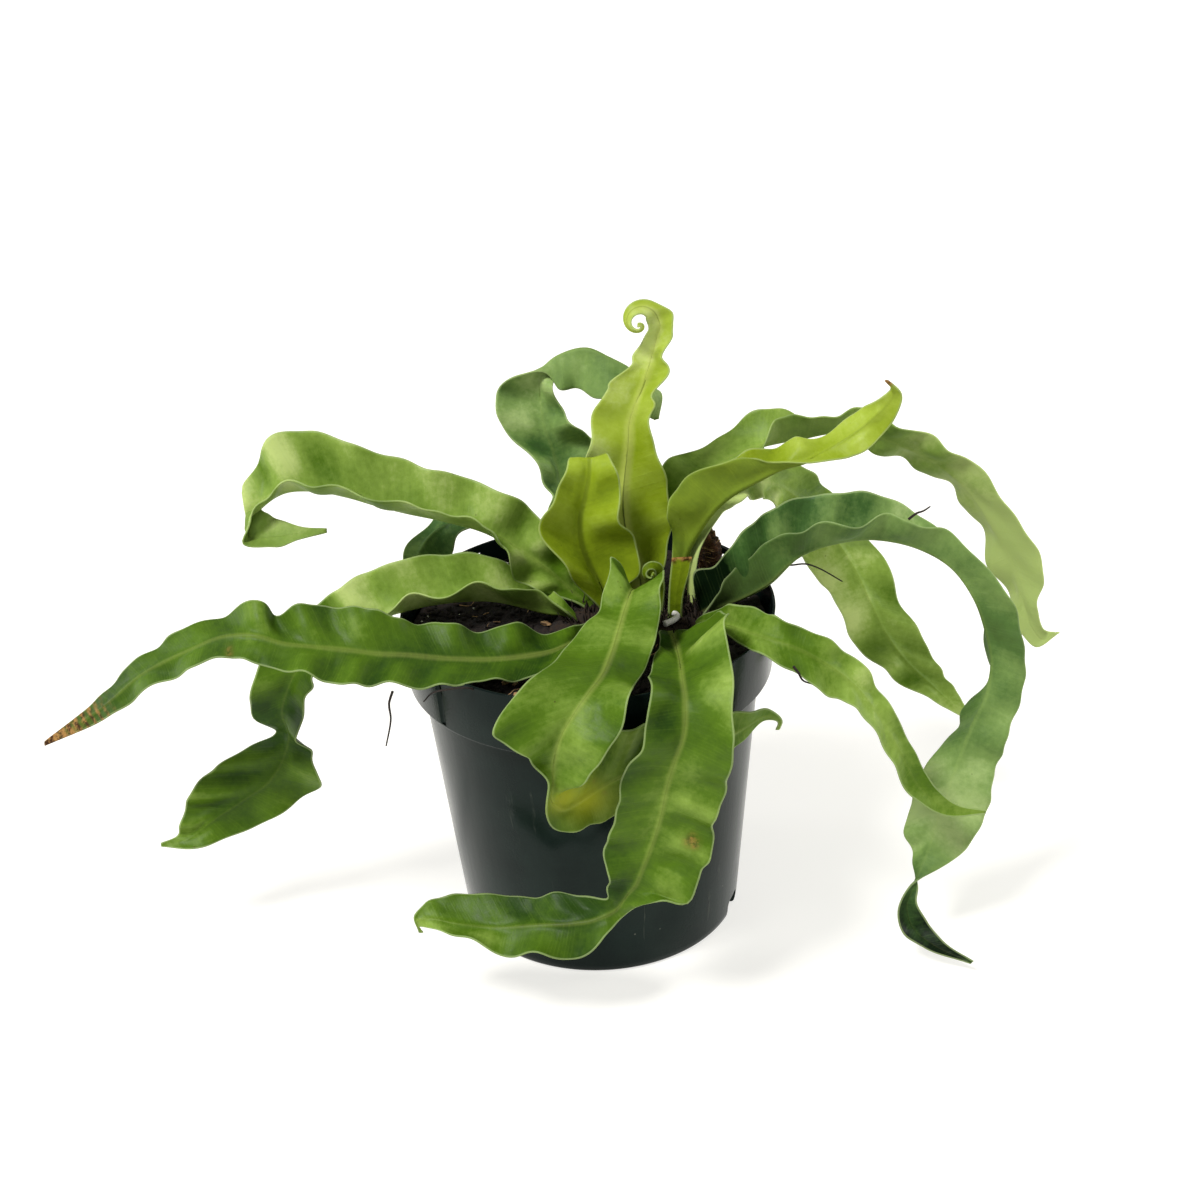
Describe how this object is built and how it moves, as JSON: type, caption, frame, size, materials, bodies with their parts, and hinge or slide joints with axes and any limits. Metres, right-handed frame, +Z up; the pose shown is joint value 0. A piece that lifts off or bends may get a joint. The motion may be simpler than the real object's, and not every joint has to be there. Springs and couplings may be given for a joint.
{
  "type": "potted fern",
  "caption": "Young bird's nest fern with long waved, arching and curling fronds, growing in peat in a plain dark round nursery pot that stands on a flat base.",
  "frame": {"origin": "middle of the pot's underside, on the surface that the pot stands on", "axes": "+Z up along the pot's axis; +X to the right and +Y away as the plant is seen from its front, where its longest fronds reach left and right"},
  "size_m": [0.4547, 0.2044, 0.2766],
  "materials": {
    "pot_plastic": "semi-gloss moulded plastic, faint scratches and dust",
    "soil": "matt, crumbly and fibrous peat with a few pale grains",
    "crown_scales": "matt, brown papery scales and root fibres",
    "peat": "matt, loose brown fibre",
    "leaf_mid": "satin waxy leaf, mid green, with a paler midrib and margin",
    "leaf_young": "satin waxy leaf, yellow green, with a paler midrib and margin",
    "leaf_dark": "satin waxy leaf, deep green, with a paler midrib and margin"
  },
  "bodies": {
    "root": {"pot": "pot_plastic", "soil": "soil", "peat_clod": "peat", "crown": "crown_scales", "frond_tall_centre": "leaf_young", "frond_short_yellow": "leaf_young", "frond_back_left": "leaf_dark", "frond_left_high": "leaf_mid", "frond_left_mid": "leaf_mid", "frond_left_low": "leaf_mid", "frond_left_behind": "leaf_dark", "frond_front_left": "leaf_mid", "frond_front_right": "leaf_mid", "frond_right_low": "leaf_mid", "frond_right_arch": "leaf_dark", "frond_right_upper": "leaf_young", "frond_right_long": "leaf_mid", "frond_right_back": "leaf_mid", "frond_crozier": "leaf_young", "cut_stalk": "leaf_young"}
  },
  "joints": []
}
